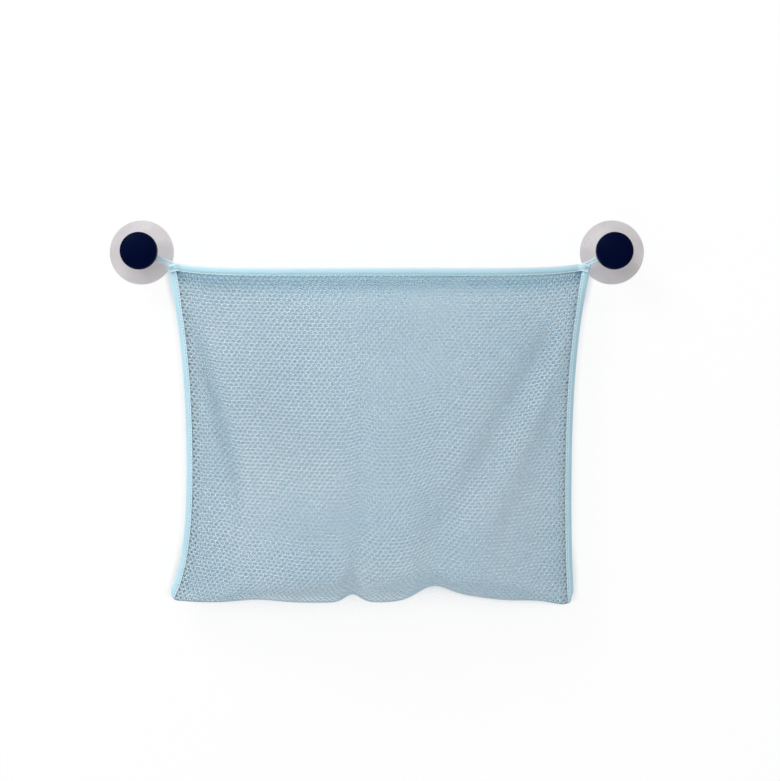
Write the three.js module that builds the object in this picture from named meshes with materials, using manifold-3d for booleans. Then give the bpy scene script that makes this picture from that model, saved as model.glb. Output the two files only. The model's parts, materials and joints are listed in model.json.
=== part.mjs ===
// Bath toy organizer: a net pouch hung by two tape loops from a pair of suction hooks.
// Millimetres, +Z up. The wall is the plane Y = 0 and the pouch hangs in front of it, towards -Y.
// The origin lies on the wall, midway between the centres of the two suction cups.
import * as THREE from 'three';
import { mergeVertices } from 'three/addons/utils/BufferGeometryUtils.js';
import Module from 'manifold-3d';

const wasm = await Module();
wasm.setup();

// Clearance left wherever two pieces touch on the real product
const SEAT_GAP = 0.3;

// Suction hooks: sizes along the hook are measured from the wall
const HOOK_SPACING = 470;
const CUP_DIAMETER = 64;
const CUP_LIP = 1.0;
const CUP_SEAT_WIDTH = 8;
const CUP_HOLLOW = 2.6;
const CUP_FLOOR = 2.4;
const CUP_SHOULDER = 7.4;
const BOSS_DIAMETER = 18;
const BOSS_EDGE = 1.2;
const BOSS_COVER = 7;
const FLANGE_DIAMETER = 12.4;
const FLANGE_THICKNESS = 2.4;
const NECK_DIAMETER = 7;
const NECK_LENGTH = 12;
const PIN_DIAMETER = 5.2;
const PIN_LENGTH = 5;
const BARB_OVERHANG = 0.7;
const BARB_LENGTH = 3.5;
const KNOB_DIAMETER = 37;
const KNOB_DEPTH = 11;
const KNOB_FACE = 4;
const KNOB_CROWN = 2.6;
const KNOB_ROUND = 2.4;
const KNOB_WALL = 2.2;
const SOCKET_WALL = 2.4;
const RIB_COUNT = 6;
const RIB_THICKNESS = 1.4;
const RIB_RECESS = 1.6;
const ROUND_SEGMENTS = 36;
const STUD_SEGMENTS = 24;

// Pouch outline, seen from the front
const BAG_WAIST = 380;
const BAG_SHIFT = 2.5;
const BAG_DROP = 14;
const SIDE_LENGTH = 330;
const TOP_FLARE = 20.5;
const TOP_FLARE_POWER = 4;
const LEFT_FOOT_FLARE = 19;
const RIGHT_FOOT_FLARE = 3;
const FOOT_FLARE_POWER = 8;
const RIM_SAG = 5.5;
const RIM_SAG_POWER = 6;

// Pouch depth: how far each panel swells from the plane of the side seams
const FRONT_RIM_BOW = 22;
const FRONT_BELLY = 57;
const BACK_RIM_BOW = 6;
const BACK_BELLY = 15;
const SWELL_POWER = 2.4;
const FOOT_FOLDS = [
  { at: 0.43, width: 0.045, lift: 8, depth: 6 },
  { at: 0.65, width: 0.06, lift: 14, depth: 9 },
];

// Net, binding tape and thread
const NET_THICKNESS = 0.5;
const OPENING_SHARE = 0.6;
const TAPE_THICKNESS = 0.6;
const TAPE_WIDTH = 8;
const RIM_END_GAP = 1;
const THREAD_DIAMETER = 0.7;
const SEAM_INSET = 1.6;

// Hanging loops and the bar tacks that hold their ends
const LOOP_WIDTH = 2;
const LOOP_SLIT = 0.5;
const LOOP_TAIL = 4;
const LOOP_TUCK = 2.5;
const TACK_LENGTH = 4.4;
const TACK_HEIGHT = 1.6;
const TACK_THICKNESS = 0.8;
const TACK_DROP = 3.2;

// How finely the pouch is divided: each cell of its panels and its foot has one opening
const COLUMNS = 12;
const ROWS = 8;
const FOOT_STEPS = 8;

// Distances from the wall along a hook
const POCKET_BACK = CUP_HOLLOW + CUP_FLOOR;
const FLANGE_BACK = POCKET_BACK + SEAT_GAP;
const FLANGE_FRONT = FLANGE_BACK + FLANGE_THICKNESS;
const POCKET_FRONT = FLANGE_FRONT + SEAT_GAP;
const BOSS_FRONT = POCKET_FRONT + BOSS_COVER;
const NECK_FRONT = BOSS_FRONT + NECK_LENGTH;
const HANG_DEPTH = BOSS_FRONT + NECK_LENGTH / 2;
const SOCKET_BACK = NECK_FRONT + SEAT_GAP;
const BARB_BACK = NECK_FRONT + PIN_LENGTH;
const BARB_FRONT = BARB_BACK + BARB_LENGTH;
const BARB_POCKET_FRONT = BARB_FRONT + SEAT_GAP;
const KNOB_FRONT = BARB_POCKET_FRONT + KNOB_FACE;
const KNOB_ROOF = KNOB_FRONT - KNOB_CROWN - KNOB_WALL;
const KNOB_BACK = KNOB_FRONT - KNOB_DEPTH;

// Radii about a hook's axis
const BARB_RADIUS = PIN_DIAMETER / 2 + BARB_OVERHANG;
const BARB_POCKET_RADIUS = BARB_RADIUS + SEAT_GAP;
const SOCKET_RADIUS = BARB_POCKET_RADIUS + SOCKET_WALL;

// The binding tape is folded over an edge of the net, so each fold takes a wall and a clearance
const NET_INSET = TAPE_THICKNESS + SEAT_GAP;
const NET_STRIP = TAPE_WIDTH + RIM_END_GAP;
const RIM_HALF = NET_THICKNESS / 2 + SEAT_GAP + TAPE_THICKNESS;
const LAYER_HALF = RIM_HALF + SEAT_GAP / 2;
const SIDE_HALF = LAYER_HALF + RIM_HALF;
const LOOP_THICKNESS = 2 * (LAYER_HALF - NET_THICKNESS / 2 - SEAT_GAP);

const clearPlastic = { color: 0xd6d8da, roughness: 0.25, metalness: 0 };
const studPlastic = { color: 0xe4e6e8, roughness: 0.4, metalness: 0 };
const navyPlastic = { color: 0x0a1238, roughness: 0.35, metalness: 0 };
const netYarn = { color: 0xaac4d2, roughness: 0.85, metalness: 0 };
const bindingTape = { color: 0xb4dbe7, roughness: 0.8, metalness: 0 };
const sewingThread = { color: 0x8fb4c4, roughness: 0.7, metalness: 0 };

const part = new THREE.Group();

// Adds one named piece and returns its mesh so that it can be placed.
function addPiece(name, geometry, look) {
  const mesh = new THREE.Mesh(geometry, new THREE.MeshStandardMaterial(look));
  mesh.name = name;
  part.add(mesh);
  return mesh;
}

// Six times the volume that a triangle spans with the origin.
function spannedVolume(position, a, b, c) {
  const [p, q, r] = [a, b, c].map((i) => new THREE.Vector3().fromBufferAttribute(position, i));
  return p.dot(q.cross(r));
}

// Joins equal corners, drops flat triangles at the poles and makes the faces point out.
function weld(geometry) {
  geometry.deleteAttribute('normal');
  geometry.deleteAttribute('uv');
  const merged = mergeVertices(geometry, 1e-4);
  const corners = merged.getIndex().array;
  const kept = [];
  let volume = 0;
  for (let i = 0; i < corners.length; i += 3) {
    const [a, b, c] = corners.slice(i, i + 3);
    if (a === b || b === c || c === a) continue;
    kept.push([a, b, c]);
    volume += spannedVolume(merged.getAttribute('position'), a, b, c);
  }
  if (volume < 0) kept.forEach((face) => face.reverse());
  merged.setIndex(kept.flat());
  return merged;
}

// A closed body from corner points and triangles.
function bodyFrom(points, faces) {
  const geometry = new THREE.BufferGeometry().setFromPoints(points);
  geometry.setIndex(faces.flat());
  return weld(geometry);
}

function toSolid(geometry) {
  const welded = weld(geometry);
  const vertProperties = new Float32Array(welded.getAttribute('position').array);
  const triVerts = new Uint32Array(welded.getIndex().array);
  return new wasm.Manifold(new wasm.Mesh({ numProp: 3, vertProperties, triVerts }));
}

function fromSolid(solid) {
  const { vertProperties, triVerts } = solid.getMesh();
  const geometry = new THREE.BufferGeometry();
  geometry.setAttribute('position', new THREE.BufferAttribute(vertProperties, 3));
  geometry.setIndex(new THREE.BufferAttribute(triVerts, 1));
  return geometry;
}

// Turns a profile of radius against distance from the wall about the hook's axis.
function turned(path, segments) {
  const profile = path.getPoints(6).map((p) => new THREE.Vector2(Math.max(p.x, 0), -p.y));
  return weld(new THREE.LatheGeometry(profile, segments));
}

// Carries a flat section through stations, each with its place and the section's two directions.
function swept(section, stations) {
  const points = stations.flatMap(({ at, across, through }) =>
    section.map((s) => at.clone().addScaledVector(across, s.x).addScaledVector(through, s.y)));
  const count = section.length;
  const faces = [];
  for (let ring = 0; ring + 1 < stations.length; ring++) {
    for (let side = 0; side < count; side++) {
      const a = ring * count + side;
      const b = ring * count + ((side + 1) % count);
      faces.push([a, b, b + count], [a, b + count, a + count]);
    }
  }
  const last = (stations.length - 1) * count;
  for (const [a, b, c] of THREE.ShapeUtils.triangulateShape(section, [])) {
    faces.push([a, c, b], [last + a, last + b, last + c]);
  }
  return bodyFrom(points, faces);
}

// Suction cup: a flat ring on the wall round a shallow hollow, and a boss that traps the stud
function suctionCup() {
  const rim = CUP_DIAMETER / 2;
  const seat = rim - CUP_SEAT_WIDTH;
  const boss = BOSS_DIAMETER / 2;
  const bore = NECK_DIAMETER / 2 + SEAT_GAP;
  const pocket = FLANGE_DIAMETER / 2 + SEAT_GAP;
  const profile = new THREE.Path();
  profile.moveTo(0, CUP_HOLLOW);
  profile.quadraticCurveTo(seat / 2, CUP_HOLLOW, seat, 0);
  profile.lineTo(rim, 0);
  profile.lineTo(rim, CUP_LIP);
  profile.quadraticCurveTo((rim + boss) / 2, CUP_LIP + CUP_HOLLOW / 2, boss, CUP_SHOULDER);
  profile.lineTo(boss, BOSS_FRONT - BOSS_EDGE);
  profile.quadraticCurveTo(boss, BOSS_FRONT, boss - BOSS_EDGE, BOSS_FRONT);
  profile.lineTo(bore, BOSS_FRONT);
  profile.lineTo(bore, POCKET_FRONT);
  profile.lineTo(pocket, POCKET_FRONT);
  profile.lineTo(pocket, POCKET_BACK);
  profile.lineTo(0, POCKET_BACK);
  return turned(profile, ROUND_SEGMENTS);
}

// Hook stud: flange inside the boss, neck for the loop, barbed pin inside the knob
function hookStud() {
  const flange = FLANGE_DIAMETER / 2;
  const neck = NECK_DIAMETER / 2;
  const pin = PIN_DIAMETER / 2;
  const profile = new THREE.Path();
  profile.moveTo(0, FLANGE_BACK);
  profile.lineTo(flange, FLANGE_BACK);
  profile.lineTo(flange, FLANGE_FRONT);
  profile.lineTo(neck, FLANGE_FRONT);
  profile.lineTo(neck, NECK_FRONT);
  profile.lineTo(pin, NECK_FRONT);
  profile.lineTo(pin, BARB_BACK);
  profile.lineTo(BARB_RADIUS, BARB_BACK);
  profile.lineTo(BARB_RADIUS, BARB_BACK + BARB_LENGTH / 4);
  profile.lineTo(pin - BARB_OVERHANG, BARB_FRONT);
  profile.lineTo(0, BARB_FRONT);
  return turned(profile, STUD_SEGMENTS);
}

// Knob: crowned cap, open at the back, with a ribbed socket that snaps over the stud's barb
function hookKnob() {
  const rim = KNOB_DIAMETER / 2;
  const bore = PIN_DIAMETER / 2 + SEAT_GAP;
  const edge = KNOB_FRONT - KNOB_CROWN;
  const profile = new THREE.Path();
  profile.moveTo(0, KNOB_FRONT);
  profile.quadraticCurveTo(rim / 2, KNOB_FRONT, rim - KNOB_ROUND, edge);
  profile.quadraticCurveTo(rim, edge - KNOB_ROUND / 4, rim, edge - KNOB_ROUND);
  profile.lineTo(rim, KNOB_BACK);
  profile.lineTo(rim - KNOB_WALL, KNOB_BACK);
  profile.lineTo(rim - KNOB_WALL, KNOB_ROOF);
  profile.lineTo(SOCKET_RADIUS, KNOB_ROOF);
  profile.lineTo(SOCKET_RADIUS, SOCKET_BACK);
  profile.lineTo(bore, SOCKET_BACK);
  profile.lineTo(bore, BARB_BACK - SEAT_GAP);
  profile.lineTo(BARB_POCKET_RADIUS, BARB_BACK - SEAT_GAP);
  profile.lineTo(BARB_POCKET_RADIUS, BARB_POCKET_FRONT);
  profile.lineTo(0, BARB_POCKET_FRONT);
  let knob = toSolid(turned(profile, ROUND_SEGMENTS));

  // Each rib reaches half a wall into the socket, the rim and the roof that it joins.
  const inner = SOCKET_RADIUS - SOCKET_WALL / 2;
  const length = rim - KNOB_WALL / 2 - inner;
  const height = KNOB_ROOF - KNOB_BACK - RIB_RECESS + KNOB_WALL / 2;
  for (let i = 0; i < RIB_COUNT; i++) {
    const rib = new THREE.BoxGeometry(length, height, RIB_THICKNESS);
    rib.translate(inner + length / 2, -(KNOB_BACK + RIB_RECESS + height / 2), 0);
    rib.rotateY((2 * Math.PI * i) / RIB_COUNT);
    knob = knob.add(toSolid(rib));
  }
  return fromSolid(knob);
}

// A point on the outer edge of a side seam, from its top (v = 0) to its foot (v = 1).
function seamEdge(side, v) {
  const foot = side < 0 ? LEFT_FOOT_FLARE : RIGHT_FOOT_FLARE;
  const flare = TOP_FLARE * (1 - v) ** TOP_FLARE_POWER + foot * v ** FOOT_FLARE_POWER;
  const x = BAG_SHIFT + side * (BAG_WAIST / 2 + flare);
  return new THREE.Vector3(x, -HANG_DEPTH, -BAG_DROP - SIDE_LENGTH * v);
}

// The direction square to a side seam that points into the pouch.
function seamInward(side, v) {
  const step = 1e-3;
  const low = seamEdge(side, Math.min(v + step, 1));
  const run = low.sub(seamEdge(side, Math.max(v - step, 0))).normalize();
  return new THREE.Vector3(side * run.z, 0, -side * run.x);
}

function seamPoint(side, v, inset) {
  return seamEdge(side, v).addScaledVector(seamInward(side, v), inset);
}

// A column of the pouch is a strip edge inside a side binding, or a share of the way across.
const columns = [
  { side: -1, inset: NET_INSET, share: 0 },
  ...Array.from({ length: COLUMNS + 1 }, (_, i) => ({ share: i / COLUMNS })),
  { side: 1, inset: NET_INSET, share: 1 },
];

const bell = (share, fold) => Math.exp(-(((share - fold.at) / fold.width) ** 2));
const swell = (share) => 1 - Math.abs(2 * share - 1) ** SWELL_POWER;
const foldSum = (share, size) => FOOT_FOLDS.reduce((sum, f) => sum + f[size] * bell(share, f), 0);

// Place across and up of a point of the pouch, at a share across and a share v down the sides.
function faceOn(column, v) {
  const { share } = column;
  if (column.side) return seamPoint(column.side, v, column.inset);
  const left = seamPoint(-1, v, NET_STRIP);
  const point = left.lerp(seamPoint(1, v, NET_STRIP), share);
  point.z -= RIM_SAG * (1 - Math.abs(2 * share - 1) ** RIM_SAG_POWER) * (1 - v);
  point.z += foldSum(share, 'lift') * v ** FOOT_FLARE_POWER;
  return point;
}

// Distance of the front or back panel from the plane of the seams, from its rim to its foot.
function panelSwell(front, share, down) {
  const ease = Math.sin((down * Math.PI) / 2);
  const rim = front ? FRONT_RIM_BOW : BACK_RIM_BOW;
  const belly = front ? FRONT_BELLY : BACK_BELLY;
  const valley = front ? foldSum(share, 'depth') * ease ** 3 : 0;
  return LAYER_HALF + (rim + (belly - rim) * ease) * swell(share) - valley;
}

// Half of the pouch's depth at its foot, which is also the radius of the foot's round.
function footRadius(share) {
  return (panelSwell(true, share, 1) + panelSwell(false, share, 1)) / 2;
}

// Shares down a column: the net's edge, the end of its bound strip, then even steps to the foot.
function downSteps(share) {
  const strip = NET_STRIP / SIDE_LENGTH;
  const end = 1 - footRadius(share) / SIDE_LENGTH;
  const steps = [{ v: NET_INSET / SIDE_LENGTH, down: 0 }];
  for (let i = 0; i <= ROWS; i++) {
    const t = i / ROWS;
    const down = t - Math.sin(2 * Math.PI * t) / (4 * Math.PI);
    steps.push({ v: strip + (end - strip) * down, down });
  }
  return steps;
}

// One column of the pouch's middle surface: down the front, round the foot and up the back.
function pouchColumn(column) {
  const { share } = column;
  const steps = downSteps(share);
  const panel = (front) => steps.map(({ v, down }) => {
    const point = faceOn(column, v);
    point.y = -HANG_DEPTH + (front ? -1 : 1) * panelSwell(front, share, down);
    return point;
  });
  const radius = footRadius(share);
  const middle = -HANG_DEPTH + (panelSwell(false, share, 1) - panelSwell(true, share, 1)) / 2;
  const foot = [];
  for (let i = 1; i < FOOT_STEPS; i++) {
    const angle = (Math.PI * i) / FOOT_STEPS;
    const point = faceOn(column, 1 - (radius / SIDE_LENGTH) * (1 - Math.sin(angle)));
    point.y = middle - radius * Math.cos(angle);
    foot.push(point);
  }
  return [...panel(true), ...foot, ...panel(false).reverse()];
}

const pouchGrid = columns.map(pouchColumn);

// Net pouch: one cloth, folded at the foot, with its edges inside the bindings
function netPouch() {
  const wide = pouchGrid.length;
  const long = pouchGrid[0].length;
  const at = (i, j) => pouchGrid[Math.min(Math.max(i, 0), wide - 1)][Math.min(Math.max(j, 0), long - 1)];

  // Each place on the cloth is a pair of points, one on either face.
  const points = pouchGrid.flatMap((column, i) => column.flatMap((point, j) => {
    const along = at(i + 1, j).clone().sub(at(i - 1, j));
    const normal = at(i, j + 1).clone().sub(at(i, j - 1)).cross(along).normalize();
    return [-1, 1].map((face) => point.clone().addScaledVector(normal, (face * NET_THICKNESS) / 2));
  }));
  const faces = [];
  const quad = (a, b, c, d) => faces.push([a, b, c], [a, c, d]);
  const patch = (a, b, c, d) => {
    quad(2 * a, 2 * b, 2 * c, 2 * d);
    quad(2 * a + 1, 2 * d + 1, 2 * c + 1, 2 * b + 1);
  };
  const edge = (a, b) => quad(2 * a, 2 * a + 1, 2 * b + 1, 2 * b);

  // An opening's corners lie between the cell's corners and its middle.
  const openCell = (cell) => {
    const first = points.length / 2;
    const middles = [0, 1].map((face) => cell.reduce(
      (sum, place) => sum.addScaledVector(points[2 * place + face], 1 / cell.length), new THREE.Vector3()));
    cell.forEach((place) => middles.forEach((middle, face) => {
      points.push(middle.clone().lerp(points[2 * place + face], OPENING_SHARE));
    }));
    cell.forEach((place, k) => {
      const next = (k + 1) % cell.length;
      patch(place, cell[next], first + next, first + k);
      edge(first + next, first + k);
    });
  };

  for (let i = 0; i + 1 < wide; i++) {
    for (let j = 0; j + 1 < long; j++) {
      const cell = [i * long + j, (i + 1) * long + j, (i + 1) * long + j + 1, i * long + j + 1];
      const bound = i === 0 || j === 0 || i + 2 === wide || j + 2 === long;
      if (bound) patch(...cell);
      else openCell(cell);
    }
  }
  for (let i = 0; i + 1 < wide; i++) {
    edge(i * long, (i + 1) * long);
    edge((i + 2) * long - 1, (i + 1) * long - 1);
  }
  for (let j = 0; j + 1 < long; j++) {
    edge(j + 1, j);
    edge((wide - 1) * long + j, (wide - 1) * long + j + 1);
  }
  return bodyFrom(points, faces);
}

// Section of a tape folded over an edge: x runs in from the fold, y through the cloth.
function foldedTape(half) {
  const inside = half - TAPE_THICKNESS;
  const outline = [
    [0, -half], [TAPE_WIDTH, -half], [TAPE_WIDTH, -inside], [TAPE_THICKNESS, -inside],
    [TAPE_THICKNESS, inside], [TAPE_WIDTH, inside], [TAPE_WIDTH, half], [0, half],
  ];
  return outline.map(([x, y]) => new THREE.Vector2(x, y));
}

// Section of a thread that lies on one face of a folded tape, near its inner edge.
function threadOnTape(half, face) {
  const x = TAPE_WIDTH - SEAM_INSET;
  const y = face * (half + SEAT_GAP + THREAD_DIAMETER / 2);
  const corners = [0, 1, 2, 3].map((i) => (i * Math.PI) / 2);
  const radius = THREAD_DIAMETER / 2;
  return corners.map((a) => new THREE.Vector2(x + radius * Math.cos(a), y + radius * Math.sin(a)));
}

// Stations down a side seam, at the pouch's own rows.
function sideStations(side) {
  const rows = downSteps(0).map(({ v }) => v);
  const through = new THREE.Vector3(0, 1, 0);
  return [0, ...rows, 1].map((v) => ({
    at: seamEdge(side, v), across: seamInward(side, v), through,
  }));
}

// Stations along a rim, from one side binding to the other.
function rimStations(front) {
  const rowAt = (column, row) => (front ? column[row] : column[column.length - 1 - row]);
  const bound = pouchGrid.slice(1, -1);
  return bound.map((column, i) => {
    const edge = rowAt(column, 0);
    const down = rowAt(column, 1).clone().sub(edge).normalize();
    const next = rowAt(bound[Math.min(i + 1, bound.length - 1)], 0);
    const along = next.clone().sub(rowAt(bound[Math.max(i - 1, 0)], 0));
    const through = down.clone().cross(along).normalize();
    return { at: edge.clone().addScaledVector(down, -NET_INSET), across: down, through };
  });
}

// Angle at which a straight line from a point meets a circle about the origin.
function tangentAngle(radius, x, y) {
  return Math.atan2(y, x) + Math.acos(radius / Math.hypot(x, y));
}

// A drop outline round the neck that narrows over a length and ends in a straight tail.
function dropOutline(path, radius, length, half, tail) {
  const angle = tangentAngle(radius, length, half);
  path.moveTo(length + tail, -half);
  path.lineTo(length + tail, half);
  path.lineTo(length, half);
  path.absarc(0, 0, radius, angle, 2 * Math.PI - angle, false);
  path.lineTo(length, -half);
  path.closePath();
  return path;
}

// Hanging loop: runs round a hook's neck, its two strands meet and tuck into the side binding
function hangingLoop(side) {
  const hook = new THREE.Vector3((side * HOOK_SPACING) / 2, -HANG_DEPTH, 0);
  const half = LOOP_WIDTH + LOOP_SLIT / 2;
  const across = seamInward(side, 0);
  const roughPull = seamPoint(side, 0, TAPE_WIDTH / 2).sub(hook).normalize();
  const slant = Math.sqrt(1 - roughPull.dot(across) ** 2);
  const pull = seamPoint(side, 0, NET_INSET + half / slant).sub(hook);
  const reach = pull.length();
  const inner = NECK_DIAMETER / 2 + SEAT_GAP;
  const meet = reach - LOOP_TAIL;
  const outline = dropOutline(new THREE.Shape(), inner + LOOP_WIDTH, meet, half, LOOP_TAIL + LOOP_TUCK);
  outline.holes.push(dropOutline(new THREE.Path(), inner, meet, LOOP_SLIT / 2, LOOP_SLIT));
  const strap = new THREE.ExtrudeGeometry(outline, {
    depth: LOOP_THICKNESS, bevelEnabled: false, curveSegments: 20,
  });
  strap.translate(0, 0, -LOOP_THICKNESS / 2);
  strap.rotateX(Math.PI / 2);
  const loop = addPiece(`${side < 0 ? 'left' : 'right'}_hanging_loop`, weld(strap), bindingTape);
  loop.position.copy(hook);
  loop.rotation.y = -Math.atan2(pull.z, pull.x);
}

// Bar tack: a short bar of thread across the side binding where the loop is tucked in
function loopTack(side) {
  const round = TACK_HEIGHT / 2;
  const straight = TACK_LENGTH / 2 - round;
  const outline = new THREE.Shape();
  outline.absarc(straight, 0, round, -Math.PI / 2, Math.PI / 2, false);
  outline.absarc(-straight, 0, round, Math.PI / 2, 1.5 * Math.PI, false);
  const bar = new THREE.ExtrudeGeometry(outline, {
    depth: TACK_THICKNESS, bevelEnabled: false, curveSegments: 6,
  });
  bar.rotateX(Math.PI / 2);
  const v = TACK_DROP / SIDE_LENGTH;
  const across = seamInward(side, v);
  const tack = addPiece(`${side < 0 ? 'left' : 'right'}_loop_tack`, weld(bar), sewingThread);
  tack.position.copy(seamPoint(side, v, TAPE_WIDTH / 2));
  tack.position.y -= SIDE_HALF + SEAT_GAP;
  tack.rotation.y = -Math.atan2(across.z, across.x);
}

for (const side of [-1, 1]) {
  const name = side < 0 ? 'left' : 'right';
  const pieces = [
    addPiece(`${name}_suction_cup`, suctionCup(), clearPlastic),
    addPiece(`${name}_hook_stud`, hookStud(), studPlastic),
    addPiece(`${name}_hook_knob`, hookKnob(), navyPlastic),
  ];
  pieces.forEach((piece) => piece.position.setX((side * HOOK_SPACING) / 2));
  hangingLoop(side);
  loopTack(side);
  const stations = sideStations(side);
  addPiece(`${name}_side_binding`, swept(foldedTape(SIDE_HALF), stations), bindingTape);
  addPiece(`${name}_side_stitching`, swept(threadOnTape(SIDE_HALF, -1), stations.slice(2)), sewingThread);
}

addPiece('net_pouch', netPouch(), netYarn);
for (const [name, outer] of [['front', 1], ['back', -1]]) {
  const stations = rimStations(name === 'front');
  addPiece(`${name}_rim_binding`, swept(foldedTape(RIM_HALF), stations), bindingTape);
  addPiece(`${name}_rim_stitching`, swept(threadOnTape(RIM_HALF, outer), stations), sewingThread);
}

export default part;
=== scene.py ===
# Looks of the bath toy organizer: a net pouch with bound edges, hung from two suction hooks.
# Metres, +Z up. The wall is the plane Y = 0 and the pouch hangs in front of it, towards -Y.
import json
import math

import bmesh
import bpy
import numpy as np
from mathutils import Matrix, Vector


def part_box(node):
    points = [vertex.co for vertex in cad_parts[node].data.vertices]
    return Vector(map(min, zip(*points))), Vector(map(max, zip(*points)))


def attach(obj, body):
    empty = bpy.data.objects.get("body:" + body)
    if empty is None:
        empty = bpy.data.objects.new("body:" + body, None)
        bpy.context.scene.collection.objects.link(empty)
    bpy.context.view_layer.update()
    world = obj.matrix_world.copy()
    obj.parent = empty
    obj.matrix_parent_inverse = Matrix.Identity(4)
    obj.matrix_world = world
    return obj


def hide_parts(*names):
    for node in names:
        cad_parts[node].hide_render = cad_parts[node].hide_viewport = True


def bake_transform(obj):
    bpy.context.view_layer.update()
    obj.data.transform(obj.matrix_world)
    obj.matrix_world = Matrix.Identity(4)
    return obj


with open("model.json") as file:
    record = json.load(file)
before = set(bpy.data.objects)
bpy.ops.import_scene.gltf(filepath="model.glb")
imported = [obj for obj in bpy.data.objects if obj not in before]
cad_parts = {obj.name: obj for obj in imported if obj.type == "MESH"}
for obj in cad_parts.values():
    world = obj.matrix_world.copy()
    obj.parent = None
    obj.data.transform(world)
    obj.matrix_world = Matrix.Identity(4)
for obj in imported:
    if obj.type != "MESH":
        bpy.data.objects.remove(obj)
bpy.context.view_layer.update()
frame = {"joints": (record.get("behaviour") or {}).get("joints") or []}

MM = 0.001

# Sides of the object, by the sign of X
LEFT, RIGHT = -1, 1
SIDE_NAME = {LEFT: "left", RIGHT: "right"}
TO_WALL = np.array([0.0, 1.0, 0.0])

# Places that come from the frame
left_knob_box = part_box("left_hook_knob")
cup_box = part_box("right_suction_cup")
swing = next(joint for joint in frame["joints"] if joint["name"] == "pouch_swing")
HOOK_X = (cup_box[0].x + cup_box[1].x) / 2
HANG_DEPTH = -swing["pos_m"][1]
CUP_RADIUS = (cup_box[1].x - cup_box[0].x) / 2
BOSS_FRONT = -cup_box[0].y
KNOB_RADIUS = (left_knob_box[1].x - left_knob_box[0].x) / 2
KNOB_FRONT = -left_knob_box[0].y
KNOB_BACK = -left_knob_box[1].y

# Suction hooks
CUP_LIP = 1.0 * MM
CUP_SEAT_WIDTH = 8 * MM
CUP_HOLLOW = 2.6 * MM
CUP_FLOOR = 2.4 * MM
CUP_SHOULDER = 7.4 * MM
BOSS_RADIUS = 9 * MM
BOSS_EDGE = 1.2 * MM
FLANGE_RADIUS = 6.2 * MM
FLANGE_THICKNESS = 2.4 * MM
NECK_RADIUS = 3.5 * MM
NECK_LENGTH = 12 * MM
PIN_RADIUS = 2.6 * MM
PIN_LENGTH = 5 * MM
BARB_RADIUS = 3.3 * MM
BARB_LENGTH = 3.5 * MM
STUD_EDGE = 0.3 * MM
KNOB_FACE = 4 * MM
KNOB_CROWN = 2.6 * MM
KNOB_ROUND = 2.4 * MM
KNOB_WALL = 2.2 * MM
KNOB_EDGE = 0.4 * MM
SOCKET_RADIUS = 6 * MM
SEAT_GAP = 0.3 * MM
RIB_COUNT = 6
RIB_THICKNESS = 1.4 * MM
RIB_RECESS = 1.6 * MM
RIB_ROOT = 1.2 * MM
TURNED_SEGMENTS = 96
POLE_SHARE = 0.02

# Pouch outline, seen from the front
BAG_WAIST = 380 * MM
BAG_SHIFT = 2.5 * MM
BAG_DROP = 14 * MM
SIDE_LENGTH = 330 * MM
TOP_FLARE = 20.5 * MM
TOP_FLARE_POWER = 4
FOOT_FLARE = {LEFT: 19 * MM, RIGHT: 3 * MM}
FOOT_FLARE_POWER = 8
SEAM_TURN = math.radians(28)
SEAM_TURN_END = 0.15
SEAM_TURN_REACH = 0.1
FOOT_SLANT = 6.5 * MM
FOOT_SLANT_ROUND = 0.6
FOOT_TUCK = 3 * MM
FOOT_TUCK_START = 0.975
FOOT_SHIFT = {LEFT: 1.5 * MM, RIGHT: -5 * MM}
FOOT_SHIFT_WIDTH = 0.05
FOOT_SHIFT_START = 0.94
RIM_SAG = 5.5 * MM
RIM_SAG_POWER = 6

# Pouch depth, measured from the plane of the side seams
FRONT_RIM_BOW = 22 * MM
FRONT_BELLY = 57 * MM
BACK_RIM_BOW = 6 * MM
BACK_BELLY = 15 * MM
SWELL_POWER = 2.4
FOOT_FOLDS = [
    {"at": 0.21, "width": 0.07, "lift": 3 * MM, "depth": 0},
    {"at": 0.454, "width": 0.028, "lift": 8 * MM, "depth": 6 * MM},
    {"at": 0.66, "width": 0.058, "lift": 14.5 * MM, "depth": 9 * MM},
    {"at": 0.75, "width": 0.07, "lift": 4.5 * MM, "depth": 0},
]

# Soft folds of the hung net: a line from start to end, as shares across and down the front
DRAPE_FOLDS = [
    {"start": (1.005, 0.10), "end": (0.64, 0.86), "width": 15 * MM, "height": -7.0 * MM},
    {"start": (1.02, 0.16), "end": (0.77, 0.84), "width": 13 * MM, "height": 5.0 * MM},
    {"start": (0.01, 0.14), "end": (0.14, 0.72), "width": 9 * MM, "height": -15.0 * MM},
    {"start": (0.05, 0.10), "end": (0.30, 0.80), "width": 17 * MM, "height": 5.0 * MM},
    {"start": (0.40, 0.30), "end": (0.43, 0.95), "width": 14 * MM, "height": -2.5 * MM},
    {"start": (0.08, 0.60), "end": (0.12, 0.96), "width": 9 * MM, "height": 2.5 * MM},
]
# Where along its line a fold rises and falls, and where the bindings and the foot hold the net flat
DRAPE_RISE = (-0.1, 0.25)
DRAPE_FALL = (0.7, 1.15)
DRAPE_SIDE_HOLD = (0, 0.07)
DRAPE_RIM_HOLD = (0.03, 0.14)
DRAPE_FOOT_HOLD = (0.8, 1.0)
BACK_DRAPE = -0.5
# Two waves that cross to make the ripple, in radians to the metre across and down
RIPPLE = 0.7 * MM
RIPPLE_WAVES = ((71, 19), (-13, 43))

# Stations of the grid that the net is laid on
SURFACE_COLUMNS = 181
SURFACE_ROWS = 561
BOUND_STATIONS = 8
PANEL_STATIONS = 200
FOOT_STATIONS = 66

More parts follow.
